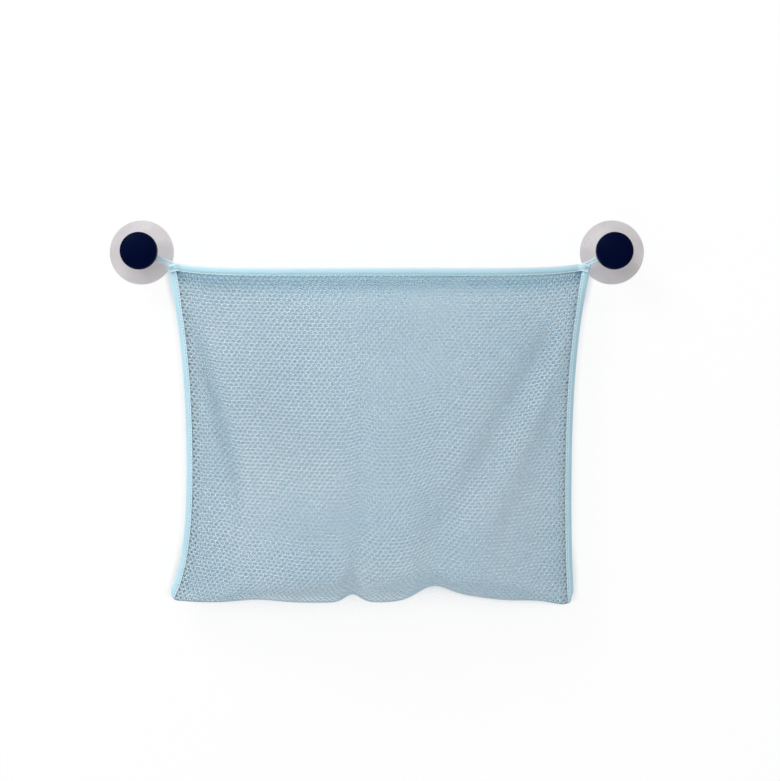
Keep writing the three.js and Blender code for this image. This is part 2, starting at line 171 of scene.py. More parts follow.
# Net, binding tape and thread
NET_THICKNESS = 0.5 * MM
TAPE_THICKNESS = 0.6 * MM
TAPE_WIDTH = 8 * MM
NET_INSET = TAPE_THICKNESS + SEAT_GAP
NET_STRIP = TAPE_WIDTH + 1 * MM
RIM_HALF = NET_THICKNESS / 2 + SEAT_GAP + TAPE_THICKNESS
LAYER_HALF = RIM_HALF + SEAT_GAP / 2
SIDE_HALF = LAYER_HALF + RIM_HALF
TAPE_PUFF = 0.2 * MM
TAPE_ROUND = 3 * MM
TAPE_PRESS = 0.35 * MM
TAPE_PRESS_WIDTH = 2 * MM
TAPE_LIP = 0.08 * MM
TAPE_LIP_INSIDE = 0.2 * MM
TAPE_LIP_OUTSIDE = 0.25 * MM
TAPE_FACE_STATIONS = 13
TAPE_ROUND_STATIONS = 9
SIDE_STATIONS = 421
RIM_STATIONS = 501
RIM_LAP = 7 * MM
RIM_LAP_STATIONS = 12
RIM_LAP_LIFT = (RIM_LAP - 1.5 * MM, RIM_LAP + 5 * MM)
SEAM_INSET = 1.6 * MM
STITCH_PITCH = 3.2 * MM
STITCH_LENGTH = 2.7 * MM
STITCH_DIMPLE = 0.35 * MM
STITCH_DIMPLE_WIDTH = 0.7 * MM
STITCH_DIMPLE_CHANGE = 0.4
STITCH_UNEVEN = (0.9, 1.06)
STITCH_SEED = 4
THREAD_RADIUS = 0.36 * MM
SIDE_SEAM_TOP = 12 * MM
SIDE_SEAM_FOOT = 1.5 * MM
SIDE_SEAM_STATIONS = 240
RIM_SEAM_TRIM = 14

# Cells of the net: corners as shares of a cell's width and height
CELL_WIDTH = 5.2 * MM
CELL_ROW = 3.55 * MM
CELL_HEIGHT = CELL_ROW * 4 / 3
YARN_HEIGHT = 0.42 * MM
HOLE_TIP = 0.60
HOLE_SIDE = 0.64
HOLE_SHOULDER = 0.76
CELL_CORNERS = [(0, 0.5), (0.5, 0.25), (0.5, -0.25), (0, -0.5), (-0.5, -0.25), (-0.5, 0.25)]
HOLE_CORNERS = [(x * HOLE_SIDE, y * (HOLE_TIP if x == 0 else HOLE_SHOULDER)) for x, y in CELL_CORNERS]
NET_COLUMNS = 75
NET_ROWS = 96
NET_WELD = 0.02 * MM
# How the yarn is drawn together and flattened by the tapes, how far painted shade darkens it by the tapes,
# and how far it wavers
DRAWN_IN = 0.75
DRAWN_CELLS = 1.2
HOLE_REACH = 0.63
TAPE_FLATTENS = 0.6
TAPE_SHADE_START = TAPE_WIDTH - 2 * MM
TAPE_SHADE_RIM_END = TAPE_WIDTH + 22 * MM
TAPE_SHADE_SIDE_END = TAPE_WIDTH + 14 * MM
TAPE_SHADE_AT_SIDE = 0.1
YARN_SLACK = 0.3 * MM
SLACK_ACROSS = (260, 170)
SLACK_DOWN = (230, 190)

# Hanging loops
LOOP_WIDTH = 2.5 * MM
LOOP_THICKNESS = 1.7 * MM
LOOP_SLIT = 0.25 * MM
LOOP_TAIL = 14 * MM
LOOP_TUCK = 2.5 * MM
LOOP_SQUARE = 0.55
LOOP_SIDES = 16
LOOP_ARC_STATIONS = 60
LOOP_STRAND_STATIONS = 30
LOOP_TAIL_STATIONS = 10
LOOP_SMOOTHING = 6
TACK_LENGTH = 4.4 * MM
TACK_HEIGHT = 1.8 * MM
TACK_DROP = 3.4 * MM
TACK_PROUD = 0.3 * MM
TACK_LEGS = 13
TACK_LEG_STATIONS = 8
TACK_THREAD = 0.3 * MM
TACK_SIDES = 8

# Photograph's frame, and where the camera stood
IMAGE_WIDTH = 780
IMAGE_HEIGHT = 781
CAMERA_DISTANCE = 2.5
CAMERA_X = 13.2 * MM
CAMERA_Z = -138 * MM
PIXEL_AT_WALL = 1 * MM
SENSOR = 36 * MM

# Stage: lamps as place, size and watts, the soft light all round, and the pale wall
LAMPS = {
    "key": ((-1.1, -1.1, 1.4), 0.8, 22),
    "fill": ((-0.2, -2.3, 0.9), 0.9, 8),
    "side": ((-1.7, -0.7, -0.1), 0.6, 3),
    "back": ((-0.9, 1.7, 0.5), 1.6, 14),
}
WHITE = (1, 1, 1, 1)
SOFT_LIGHT = (0.97, 0.985, 1, 1)
SOFT_STRENGTH = 0.65
WALL_HALF = 3.0
WALL_SETBACK = 0.8 * MM
WALL_GLOW = 0.9
WALL_SHADE = 0.6
# Shade on the wall: how close things are where it starts and ends, and its limits round the pouch
SHADE_REACH = 120 * MM
SHADE_SAMPLES = 12
SHADE_COVERED = 0.42
SHADE_OPEN = 0.62
SHADE_FOOT_TOP = (-60 * MM, -25 * MM)
SHADE_FOOT_END = (-1 * MM, 8 * MM)
SHADE_FOOT_GAIN = 0.2
SHADE_RIM_BAND = (-45 * MM, -20 * MM)
SHADE_RIM_GAIN = 0.25
SHADE_RIM = (-10 * MM, 0)
SHADE_SIDE = (-4 * MM, 8 * MM)


# Node trees

def operator_pair(operation):
    """Both forms of an operator: with the wire first, and reflected with the wire second."""
    def plain(self, other):
        return self.math(operation, self, other)

    def reflected(self, other):
        return self.math(operation, other, self)

    return plain, reflected


class Wire:
    """An output socket of a node tree. Arithmetic on wires adds Math nodes to their tree."""

    def __init__(self, tree, socket=None):
        self.tree = tree
        self.socket = socket

    def node(self, kind, sockets=None, output=0, **settings):
        """Adds a node: first its settings, then the values or links of its sockets."""
        node = self.tree.nodes.new(kind)
        for name, value in settings.items():
            setattr(node, name, value)
        for key, value in (sockets or {}).items():
            if isinstance(value, Wire):
                self.tree.links.new(value.socket, node.inputs[key])
            else:
                node.inputs[key].default_value = value
        return Wire(self.tree, node.outputs[output] if node.outputs else None)

    def output(self, name):
        return Wire(self.tree, self.socket.node.outputs[name])

    def math(self, operation, first, second=0.0):
        return self.node("ShaderNodeMath", {0: first, 1: second}, operation=operation)

    __add__, __radd__ = operator_pair("ADD")
    __sub__, __rsub__ = operator_pair("SUBTRACT")
    __mul__, __rmul__ = operator_pair("MULTIPLY")
    __truediv__, __rtruediv__ = operator_pair("DIVIDE")
    __mod__, __rmod__ = operator_pair("MODULO")
    __or__, __ror__ = operator_pair("MAXIMUM")


def new_tree(name, inputs):
    """A geometry tree with named inputs; returns it with a wire for each input, geometry first."""
    tree = bpy.data.node_groups.new(name, "GeometryNodeTree")
    tree.interface.new_socket("Geometry", in_out="INPUT", socket_type="NodeSocketGeometry")
    for label, kind in inputs.items():
        tree.interface.new_socket(label, in_out="INPUT", socket_type=f"NodeSocket{kind}")
    tree.interface.new_socket("Geometry", in_out="OUTPUT", socket_type="NodeSocketGeometry")
    entry = Wire(tree).node("NodeGroupInput")
    return tree, [entry.output(label) for label in ("Geometry", *inputs)]


def close_tree(geometry, material):
    """Ends a tree: instances made real, smooth faces, and the material set."""
    real = geometry.node("GeometryNodeRealizeInstances", {"Geometry": geometry})
    soft = geometry.node("GeometryNodeSetShadeSmooth", {"Geometry": real})
    dressed = geometry.node("GeometryNodeSetMaterial", {"Geometry": soft, "Material": material})
    geometry.node("NodeGroupOutput", {"Geometry": dressed})


def run_tree(tree, host, values, name):
    """Runs a tree on a host object and returns the result as a plain mesh; the host goes."""
    modifier = host.modifiers.new(tree.name, "NODES")
    modifier.node_group = tree
    for item in tree.interface.items_tree:
        if item.in_out == "INPUT" and item.name in values:
            modifier[item.identifier] = values[item.name]
    graph = bpy.context.evaluated_depsgraph_get()
    mesh = bpy.data.meshes.new_from_object(host.evaluated_get(graph))
    mesh.name = name
    host.modifiers.remove(modifier)
    bpy.data.objects.remove(host)
    return mesh


# Materials

def linear(red, green, blue):
    """A colour given as 0 to 255 screen values, in the linear values that shaders take."""
    shares = [channel / 255 for channel in (red, green, blue)]
    return tuple(s / 12.92 if s <= 0.04045 else ((s + 0.055) / 1.055) ** 2.4 for s in shares) + (1.0,)


def new_material(name, constants):
    """A material with one Principled shader, whose constant sockets are set directly.

    Returns it with a wire for places in the piece's own coordinates."""
    material = bpy.data.materials.new(name)
    material.use_nodes = True
    shader = material.node_tree.nodes["Principled BSDF"]
    for socket, value in constants.items():
        shader.inputs[socket].default_value = value
    return material, Wire(material.node_tree).node("ShaderNodeTexCoord").output("Object")


def dress(material, colour, roughness, grain, strength, depth):
    """Links what varies over a surface: its colour, its roughness and the relief of its grain."""
    relief = grain.node("ShaderNodeBump", {"Strength": strength, "Distance": depth, "Height": grain})
    shader = material.node_tree.nodes["Principled BSDF"]
    for socket, value in (("Base Color", colour), ("Roughness", roughness), ("Normal", relief)):
        material.node_tree.links.new(value.socket, shader.inputs[socket])
    return material


def noise(place, scale, detail=2.0):
    return place.node("ShaderNodeTexNoise", {"Vector": place, "Scale": scale, "Detail": detail})


def wave(place, direction, sockets):
    return place.node("ShaderNodeTexWave", {"Vector": place, **sockets}, 1, bands_direction=direction)


def mix_colour(factor, first, second):
    return factor.node("ShaderNodeMix", {0: factor, 6: first, 7: second}, 2, data_type="RGBA")


def spread(value, low, high):
    """Takes the part of a value between low and high to the full range of 0 to 1."""
    return value.node("ShaderNodeMapRange", {"Value": value, "From Min": low, "From Max": high})


def net_yarn():
    """Soft yarn with fine fibres, with painted shade where it runs under and beside the tapes."""
    material, place = new_material("net_yarn", {
        "Sheen Weight": 0.25, "Sheen Roughness": 0.5, "Specular IOR Level": 0.25,
        "Subsurface Weight": 1.0, "Subsurface Radius": (1, 1, 1), "Subsurface Scale": 2 * MM})
    broad = spread(noise(place, 14, 3), 0.32, 0.68)
    fibre = noise(place, 1400)
    tone = mix_colour(broad, linear(170, 195, 209), linear(180, 203, 216))
    dusty = mix_colour(spread(fibre, 0.3, 0.7) * 0.35, tone, linear(168, 194, 208))
    # Painted shade: the yarn darkens towards deep blue below the rim tapes and, fainter, beside the side
    # tapes
    painted_tape_shade = place.node("ShaderNodeAttribute", attribute_name="painted_tape_shade").output("Fac")
    colour = mix_colour(painted_tape_shade * 0.9, dusty, linear(102, 148, 170))
    return dress(material, colour, 0.74 + fibre * 0.2, fibre, 0.35, 0.15 * MM)


def binding_tape():
    """Woven tape: ribs across its length and fine yarns along it, on the tape's own UV in metres, with a
    painted highlight along its fold and paler towards its inner edge.
    """
    material, place = new_material("binding_tape", {
        "Sheen Weight": 0.3, "Sheen Roughness": 0.45, "Specular IOR Level": 0.3})
    flat = place.node("ShaderNodeUVMap", uv_map="tape")
    ribs = wave(flat, "X", {"Scale": 420, "Distortion": 0.6, "Detail": 1.0, "Detail Scale": 3.0})
    yarns = wave(flat, "Y", {"Scale": 560, "Distortion": 0.4})
    weave = ribs * 0.65 + yarns * 0.35
    broad = spread(noise(place, 22, 3), 0.3, 0.7)
    tone = mix_colour(broad, linear(178, 216, 229), linear(190, 226, 238))
    woven = mix_colour((1 - weave) * 0.4, tone, linear(152, 196, 211))
    from_fold = flat.math("ABSOLUTE", flat.node("ShaderNodeSeparateXYZ", {"Vector": flat}).output("Y"))
    # Painted highlight: the tape is lighter along its fold
    fold_highlight = 1 - spread(from_fold, 0.8 * MM, 4 * MM)
    edged = mix_colour(spread(from_fold, 6 * MM, 7.6 * MM) * 0.9, woven, linear(210, 234, 243))
    colour = mix_colour(fold_highlight * 0.8, edged, linear(222, 233, 239))
    return dress(material, colour, 0.85 - weave * 0.18, weave, 0.5, 0.18 * MM)


def sewing_thread():
    """Twisted thread, a little darker than the tape."""
    material, place = new_material("sewing_thread", {
        "Sheen Weight": 0.2, "Specular IOR Level": 0.4})
    twist = wave(place, "DIAGONAL", {"Scale": 900, "Distortion": 1.2, "Detail": 1.0})
    colour = mix_colour(twist, linear(138, 180, 196), linear(164, 204, 217))
    return dress(material, colour, 0.5 + twist * 0.2, twist, 0.5, 0.1 * MM)


def hook_distance(place, side):
    """Distance from the axis of a hook, for the wear and the painted highlight that run round it."""
    centred = place.node("ShaderNodeMapping", {
        "Vector": place, "Location": (-side * HOOK_X, 0, 0), "Scale": (1, 0, 1)})
    return place.node("ShaderNodeVectorMath", {0: centred}, 1, operation="LENGTH")


def navy_plastic(side):
    """Satin navy plastic with a fine moulded grain, a little paler round its edge: rubbed wear and a
    painted rim highlight.
    """
    material, place = new_material(f"navy_plastic_{SIDE_NAME[side]}", {
        "Specular IOR Level": 0.06, "Specular Tint": (0.25, 0.62, 1, 1)})
    grain = noise(place, 2600)
    cloud = noise(place, 90, 3)
    # Paler round the rim: partly rubbed wear, partly a painted highlight
    edge = spread(hook_distance(place, side), KNOB_RADIUS * 0.86, KNOB_RADIUS)
    rim_wear_and_highlight = edge * spread(cloud, 0.4, 0.75)
    tone = mix_colour(cloud, linear(0, 1, 30), linear(1, 3, 39))
    colour = mix_colour(rim_wear_and_highlight * 0.5, tone, linear(22, 30, 72))
    return dress(material, colour, 0.42 + cloud * 0.14, grain, 0.2, 0.05 * MM)


def clear_vinyl():
    """Soft milky vinyl: clear enough to pass light, with flow marks from moulding."""
    material, place = new_material("clear_vinyl", {
        "Transmission Weight": 0.45, "IOR": 1.45, "Specular IOR Level": 0.5})
    flow = noise(place, 60, 3)
    speck = noise(place, 900)
    colour = mix_colour(spread(flow, 0.35, 0.65), linear(216, 211, 213), linear(226, 221, 223))
    return dress(material, colour, 0.24 + speck * 0.12, flow, 0.15, 0.2 * MM)


def stud_plastic():
    """Hard white plastic with a fine moulded grain."""
    material, place = new_material("stud_plastic", {"Specular IOR Level": 0.45})
    grain = noise(place, 1800)
    colour = mix_colour(noise(place, 120), linear(226, 228, 230), linear(238, 239, 240))
    return dress(material, colour, 0.38 + grain * 0.12, grain, 0.2, 0.05 * MM)


# Meshes

def link(name, data, material=None):
    """An object at the origin that carries this mesh, lamp or lens."""
    piece = bpy.data.objects.new(name, data)
    bpy.context.scene.collection.objects.link(piece)
    if material:
        data.materials.clear()
        data.materials.append(material)
    return piece


def new_mesh(name, points, edges=(), faces=()):
    mesh = bpy.data.meshes.new(name)
    mesh.from_pydata(points, edges, faces)
    return mesh


def smooth(mesh, sharp_degrees):
    mesh.shade_smooth()
    mesh.set_sharp_from_angle(angle=math.radians(sharp_degrees))


def face_out(mesh):
    body = bmesh.new()
    body.from_mesh(mesh)
    bmesh.ops.recalc_face_normals(body, faces=body.faces)
    body.to_mesh(mesh)
    body.free()


def plain_object(name, body):
    """An object that carries a worked shape, for a tree to repeat."""
    mesh = bpy.data.meshes.new(name)
    body.to_mesh(mesh)
    body.free()
    return link(name, mesh)


def ring_piece(name, rings, along, around, material, sharp_degrees):
    """A piece with a closed skin over rings of points, capped at both ends, and a UV map in metres."""
    count, sides = rings.shape[:2]
    index = np.arange(count * sides).reshape(count, sides)
    turned_on = np.roll(index, -1, axis=1)
    quads = np.stack([index[:-1], turned_on[:-1], turned_on[1:], index[1:]], -1).reshape(-1, 4)
    caps = [index[0][::-1].tolist(), index[-1].tolist()]
    mesh = new_mesh(name, rings.reshape(-1, 3).tolist(), faces=quads.tolist() + caps)

    def corner(run, turn):
        return np.stack(np.broadcast_arrays(run[:, None], turn), -1)

    here, ahead = around[:-1], around[1:]
    skin = np.stack([
        corner(along[:-1], here), corner(along[:-1], ahead),
        corner(along[1:], ahead), corner(along[1:], here)], 2)
    ends = np.concatenate([corner(along[:1], here[::-1])[0], corner(along[-1:], here)[0]])
    uv = mesh.uv_layers.new(name="tape")
    uv.data.foreach_set("uv", np.concatenate([skin.reshape(-1, 2), ends]).ravel())
    face_out(mesh)
    smooth(mesh, sharp_degrees)
    return link(name, mesh, material)


def lengths(points):
    """Running length along a row of points."""
    return np.concatenate([[0.0], np.cumsum(np.linalg.norm(np.diff(points, axis=0), axis=1))])


def girth(section):
    """Running length round a closed section, back to its first point."""
    return lengths(np.vstack([section, section[:1]]))


def unit(vectors):
    return vectors / np.linalg.norm(vectors, axis=-1, keepdims=True)


def ease(value, low, high):
    """A smooth step from 0 at low to 1 at high."""
    share = np.clip((value - low) / (high - low), 0, 1)
    return share * share * (3 - 2 * share)


# Shape of the pouch, as in the solids

def seam_edge(side, v):
    """Outer edge of a side seam, from its top (v = 0) to its foot (v = 1)."""
    flare = TOP_FLARE * (1 - v) ** TOP_FLARE_POWER + FOOT_FLARE[side] * v ** FOOT_FLARE_POWER
    x = BAG_SHIFT + side * (BAG_WAIST / 2 + flare)
    return np.stack([x, np.full_like(x, -HANG_DEPTH), -BAG_DROP - SIDE_LENGTH * v], -1)


def seam_frame(side, v):
    """Directions of a seam's tape: inwards from its outer edge, and through it towards the wall.

    Below its top the tape turns with the swell of the net, so that its inner edge comes forward."""
    step = 1e-3
    run = unit(seam_edge(side, np.minimum(v + step, 1)) - seam_edge(side, np.maximum(v - step, 0)))
    level = np.stack([side * run[..., 2], np.zeros_like(v), -side * run[..., 0]], -1)
    turn = (SEAM_TURN * ease(v, 0, SEAM_TURN_END))[..., None]
    inward = level * np.cos(turn) - TO_WALL * np.sin(turn)
    return inward, level * np.sin(turn) + TO_WALL * np.cos(turn)


def seam_rise(side, v, inset):
    """How the rounded foot of a seam draws in and up towards its outer edge; the right foot hangs lower."""
    outer = np.clip(1 - inset / TAPE_WIDTH, 0, 1)
    corner = (1 - FOOT_SLANT_ROUND) * outer + FOOT_SLANT_ROUND * (1 - np.sqrt(1 - outer * outer))
    tuck = -side * FOOT_TUCK * outer * ease(v, FOOT_TUCK_START, 1)
    rise = (FOOT_SLANT * corner + FOOT_SHIFT[side]) * ease(v, FOOT_SHIFT_START, 1)
    return np.stack([tuck, np.zeros_like(rise), rise], -1)


def seam_point(side, v, inset):
    inward = seam_frame(side, v)[0] * np.asarray(inset)[..., None]
    return seam_edge(side, v) + inward + seam_rise(side, v, inset)


def fold_sum(share, size):
    return sum(f[size] * np.exp(-(((share - f["at"]) / f["width"]) ** 2)) for f in FOOT_FOLDS)


def face_on(share, v):
    """Place across and up of the net between its bound strips."""
    left = seam_point(LEFT, v, NET_STRIP)
    point = left + (seam_point(RIGHT, v, NET_STRIP) - left) * share[..., None]
    point[..., 2] -= RIM_SAG * (1 - abs(2 * share - 1) ** RIM_SAG_POWER) * (1 - v)
    point[..., 2] += fold_sum(share, "lift") * v ** FOOT_FLARE_POWER
    for side, near in ((LEFT, share), (RIGHT, 1 - share)):
        local = np.exp(-((near / FOOT_SHIFT_WIDTH) ** 2)) - (1 - near)
        point[..., 2] += FOOT_SHIFT[side] * ease(v, FOOT_SHIFT_START, 1) * local
    inner = ease(np.minimum(share, 1 - share), 0, SEAM_TURN_REACH)
    point[..., 1] -= (point[..., 1] + HANG_DEPTH) * inner
    return point


def panel_swell(front, share, down):
    """Distance of a panel from the plane of the seams."""
    fall = np.sin(down * math.pi / 2)
    rim, belly = (FRONT_RIM_BOW, FRONT_BELLY) if front else (BACK_RIM_BOW, BACK_BELLY)
    valley = fold_sum(share, "depth") * fall ** 3 if front else 0
    return LAYER_HALF + (rim + (belly - rim) * fall) * (1 - abs(2 * share - 1) ** SWELL_POWER) - valley


def drape_relief(share, v):
    """How far the hung net's soft folds stand out of the plain front, fading at its bindings."""
    relief = np.zeros(np.broadcast_shapes(share.shape, v.shape))
    size = np.array([BAG_WAIST, SIDE_LENGTH])
    across, down = share * BAG_WAIST, v * SIDE_LENGTH
    for fold in DRAPE_FOLDS:
        start = np.array(fold["start"]) * size
        run = np.array(fold["end"]) * size - start
        length = np.hypot(*run)
        along = ((across - start[0]) * run[0] + (down - start[1]) * run[1]) / length ** 2
        away = ((across - start[0]) * run[1] - (down - start[1]) * run[0]) / length
        reach = ease(along, *DRAPE_RISE) * (1 - ease(along, *DRAPE_FALL))
        relief = relief + fold["height"] * np.exp(-(away / fold["width"]) ** 2) * reach
    first, second = [np.sin(across * turns + down * falls) for turns, falls in RIPPLE_WAVES]
    hold = ease(share, *DRAPE_SIDE_HOLD) * ease(1 - share, *DRAPE_SIDE_HOLD) * ease(v, *DRAPE_RIM_HOLD)
    return (relief + RIPPLE * first * second) * hold


def pouch_surface():
    """Grids of places and outward directions: across the net, and from front rim to back rim."""
    strip_share = (NET_STRIP - NET_INSET) / (BAG_WAIST - 2 * NET_INSET)
    across = np.linspace(0, 1, SURFACE_COLUMNS)
    share = np.clip((across - strip_share) / (1 - 2 * strip_share), 0, 1)[:, None]
    inset = NET_INSET + np.minimum(across, 1 - across)[:, None] / strip_share * (NET_STRIP - NET_INSET)
    bound = (np.minimum(across, 1 - across) < strip_share)[:, None, None]
    left_half = (across < 0.5)[:, None, None]

    def place(v):
        v = np.broadcast_to(v, np.broadcast_shapes(v.shape, share.shape))
        edge = np.where(left_half, seam_point(LEFT, v, inset), seam_point(RIGHT, v, inset))
        return np.where(bound, edge, face_on(np.broadcast_to(share, v.shape), v))

    front_foot = panel_swell(True, share, 1.0)
    back_foot = panel_swell(False, share, 1.0)
    radius = (front_foot + back_foot) / 2
    strip = NET_STRIP / SIDE_LENGTH
    end = 1 - radius / SIDE_LENGTH

    def panel(front):
        down = np.linspace(0, 1, PANEL_STATIONS)[None, :]
        bound_rows = np.linspace(NET_INSET / SIDE_LENGTH, strip, BOUND_STATIONS)[None, :-1]
        v = np.concatenate([
            np.broadcast_to(bound_rows, (SURFACE_COLUMNS, bound_rows.shape[1])),
            strip + (end - strip) * down], 1)
        fall = np.concatenate([np.zeros_like(bound_rows), down], 1)
        points = place(v)
        swell = panel_swell(front, share, fall)
        relief = drape_relief(share, v) if front else BACK_DRAPE * drape_relief(1 - share, v)
        relief = relief * (1 - ease(fall, *DRAPE_FOOT_HOLD))
        points[..., 1] += (-1 if front else 1) * (swell + relief)
        return points

    angle = np.linspace(0, math.pi, FOOT_STATIONS)[None, 1:-1]
    foot = place(1 - radius / SIDE_LENGTH * (1 - np.sin(angle)))
    foot[..., 1] += (back_foot - front_foot) / 2 - radius * np.cos(angle)
    lines = np.concatenate([panel(True), foot, panel(False)[:, ::-1]], 1)
    even = np.linspace(0, 1, SURFACE_ROWS)
    grid = np.empty((SURFACE_COLUMNS, SURFACE_ROWS, 3))
    for column, line in enumerate(lines):
        run = lengths(line)
        for axis in range(3):
            grid[column, :, axis] = np.interp(even, run / run[-1], line[:, axis])
    outward = unit(np.cross(np.gradient(grid, axis=1), np.gradient(grid, axis=0)))
    if outward[SURFACE_COLUMNS // 2, SURFACE_ROWS // 4, 1] > 0:
        outward = -outward
    return grid, outward


def on_grid(grid, across, along):
    """Reads a grid between its points, at shares across and along it."""
    columns, rows = grid.shape[:2]
    x = np.clip(across, 0, 1) * (columns - 1)
    y = np.clip(along, 0, 1) * (rows - 1)
    i = np.minimum(x.astype(int), columns - 2)
    j = np.minimum(y.astype(int), rows - 2)
    fx = (x - i)[:, None]
    fy = (y - j)[:, None]
    low = grid[i, j] * (1 - fx) + grid[i + 1, j] * fx
    high = grid[i, j + 1] * (1 - fx) + grid[i + 1, j + 1] * fx
    return low * (1 - fy) + high * fy


# Net


def net_cell():
    """One hole of the net: yarn that rises from the hole's edge to a ridge shared with the next cell."""
    size = np.array([CELL_WIDTH, CELL_HEIGHT])
    ridge = np.array(CELL_CORNERS) * size
    hole = np.array(HOLE_CORNERS) * size
    count = len(CELL_CORNERS)
    tall = np.full((count, 1), YARN_HEIGHT)
    points = np.concatenate([
        np.hstack([ridge, tall]), np.hstack([ridge, -tall]), np.hstack([hole, 0 * tall])])
    faces = []
    for a in range(count):
        b = (a + 1) % count
        hole_a, hole_b = 2 * count + a, 2 * count + b
        faces.append((hole_a, hole_b, b, a))
        faces.append((hole_b, hole_a, count + a, count + b))
    return link("net_cell", new_mesh("net_cell", points.tolist(), faces=faces))


def net_tree():
    """Repeats a cell over rows that are shifted by half a cell, and welds the shared ridges."""
    tree, (cell, columns, rows, pitch, row_pitch, weld, yarn) = new_tree("knitted_net", {
        "Columns": "Int", "Rows": "Int", "Pitch": "Float", "Row Pitch": "Float", "Weld": "Float",
        "Yarn": "Material"})
    grid = cell.node("GeometryNodeMeshGrid", {
        "Size X": (columns - 1) * pitch, "Size Y": (rows - 1) * row_pitch,
        "Vertices X": columns, "Vertices Y": rows})
    place = cell.node("GeometryNodeInputPosition")
    height = cell.node("ShaderNodeSeparateXYZ", {"Vector": place}).output("Y")
    row = cell.math("ROUND", height / row_pitch + (rows - 1) * 0.5)
    shift = cell.node("ShaderNodeCombineXYZ", {"X": (row % 2 - 0.5) * pitch * 0.5})
    lattice = cell.node("GeometryNodeSetPosition", {"Geometry": grid, "Offset": shift})
    cells = cell.node("GeometryNodeInstanceOnPoints", {"Points": lattice, "Instance": cell})
    real = cell.node("GeometryNodeRealizeInstances", {"Geometry": cells})
    welded = cell.node("GeometryNodeMergeByDistance", {"Geometry": real, "Distance": weld})
    close_tree(welded, yarn)
    return tree


def close_border(mesh):
    """Closes the edge of the net with a strip between the ridges of its two faces."""
    body = bmesh.new()
    body.from_mesh(mesh)
    border = [edge for edge in body.edges if edge.is_boundary]
    corners = {corner for edge in border for corner in edge.verts}
    same = 5 * NET_WELD

    def spot(corner):
        return round(corner.co.x / same), round(corner.co.y / same)

    below = {spot(corner): corner for corner in corners if corner.co.z < 0}
    for first, second in [edge.verts for edge in border]:
        if first.co.z > 0:
            body.faces.new((first, second, below[spot(second)], below[spot(first)]))
    body.to_mesh(mesh)
    body.free()


def from_cell_middle(x, y):
    """Places within the net's cells, measured from the middle of the nearest row's nearest cell."""
    row = np.round(y / CELL_ROW + (NET_ROWS - 1) / 2)
    start = (row % 2 - 0.5) * CELL_WIDTH / 2 - (NET_COLUMNS - 1) / 2 * CELL_WIDTH
    column = np.round((x - start) / CELL_WIDTH)
    return x - start - column * CELL_WIDTH, y - (row - (NET_ROWS - 1) / 2) * CELL_ROW


def waver(along, beside, waves):
    """A slight wave along one direction, which wanders in the other."""
    return YARN_SLACK * np.sin(along * waves[0] + np.sin(beside * waves[1]))


def net_panel(name, tree, first_row, surface, yarn):
    """One panel of net, made flat and then laid on the pouch from one row of cells onwards."""
    mesh = run_tree(tree, net_cell(), {
        "Columns": NET_COLUMNS, "Rows": NET_ROWS, "Pitch": CELL_WIDTH, "Row Pitch": CELL_ROW,
        "Weld": NET_WELD, "Yarn": yarn}, name)
    close_border(mesh)
    flat = np.empty(len(mesh.vertices) * 3)
    mesh.vertices.foreach_get("co", flat)
    x, y, height = flat.reshape(-1, 3).T
    wide = (NET_COLUMNS + 0.5) * CELL_WIDTH
    long = (2 * NET_ROWS - 1) * CELL_ROW + CELL_HEIGHT
    down = y + (NET_ROWS - 1) / 2 * CELL_ROW + CELL_HEIGHT / 2 + first_row * CELL_ROW
    from_side = wide / 2 - abs(x)
    from_rim = np.minimum(down, long - down)
    drawn_end = TAPE_WIDTH + DRAWN_CELLS * CELL_WIDTH
    by_tape = 1 - ease(np.stack([from_side, from_rim]), TAPE_WIDTH, drawn_end)
    off_x, off_y = from_cell_middle(x, y)
    by_hole = abs(off_x) / CELL_WIDTH + abs(off_y) / CELL_HEIGHT < HOLE_REACH
    drawn = DRAWN_IN * by_tape[0] * by_hole
    height = height * (1 - TAPE_FLATTENS * by_tape.max(0))
    across = (x + waver(x, down, SLACK_ACROSS) - drawn * off_x) / wide + 0.5
    along = (down + waver(down, x, SLACK_DOWN) - drawn * off_y) / long
    grid, outward = surface
    placed = on_grid(grid, across, along) + unit(on_grid(outward, across, along)) * height[:, None]
    mesh.vertices.foreach_set("co", placed.ravel())
    # Painted shade on the yarn below the rim tapes and, fainter, beside the side tapes, carried to its
    # colour
    by_rim = 1 - ease(from_rim, TAPE_SHADE_START, TAPE_SHADE_RIM_END)
    by_side = 1 - ease(from_side, TAPE_SHADE_START, TAPE_SHADE_SIDE_END)
    painted_tape_shade = mesh.attributes.new("painted_tape_shade", "FLOAT", "POINT")
    painted_tape_shade.data.foreach_set("value", np.maximum(by_rim, TAPE_SHADE_AT_SIDE * by_side))
    face_out(mesh)
    mesh.update()
    return link(name, mesh)


# Binding tape

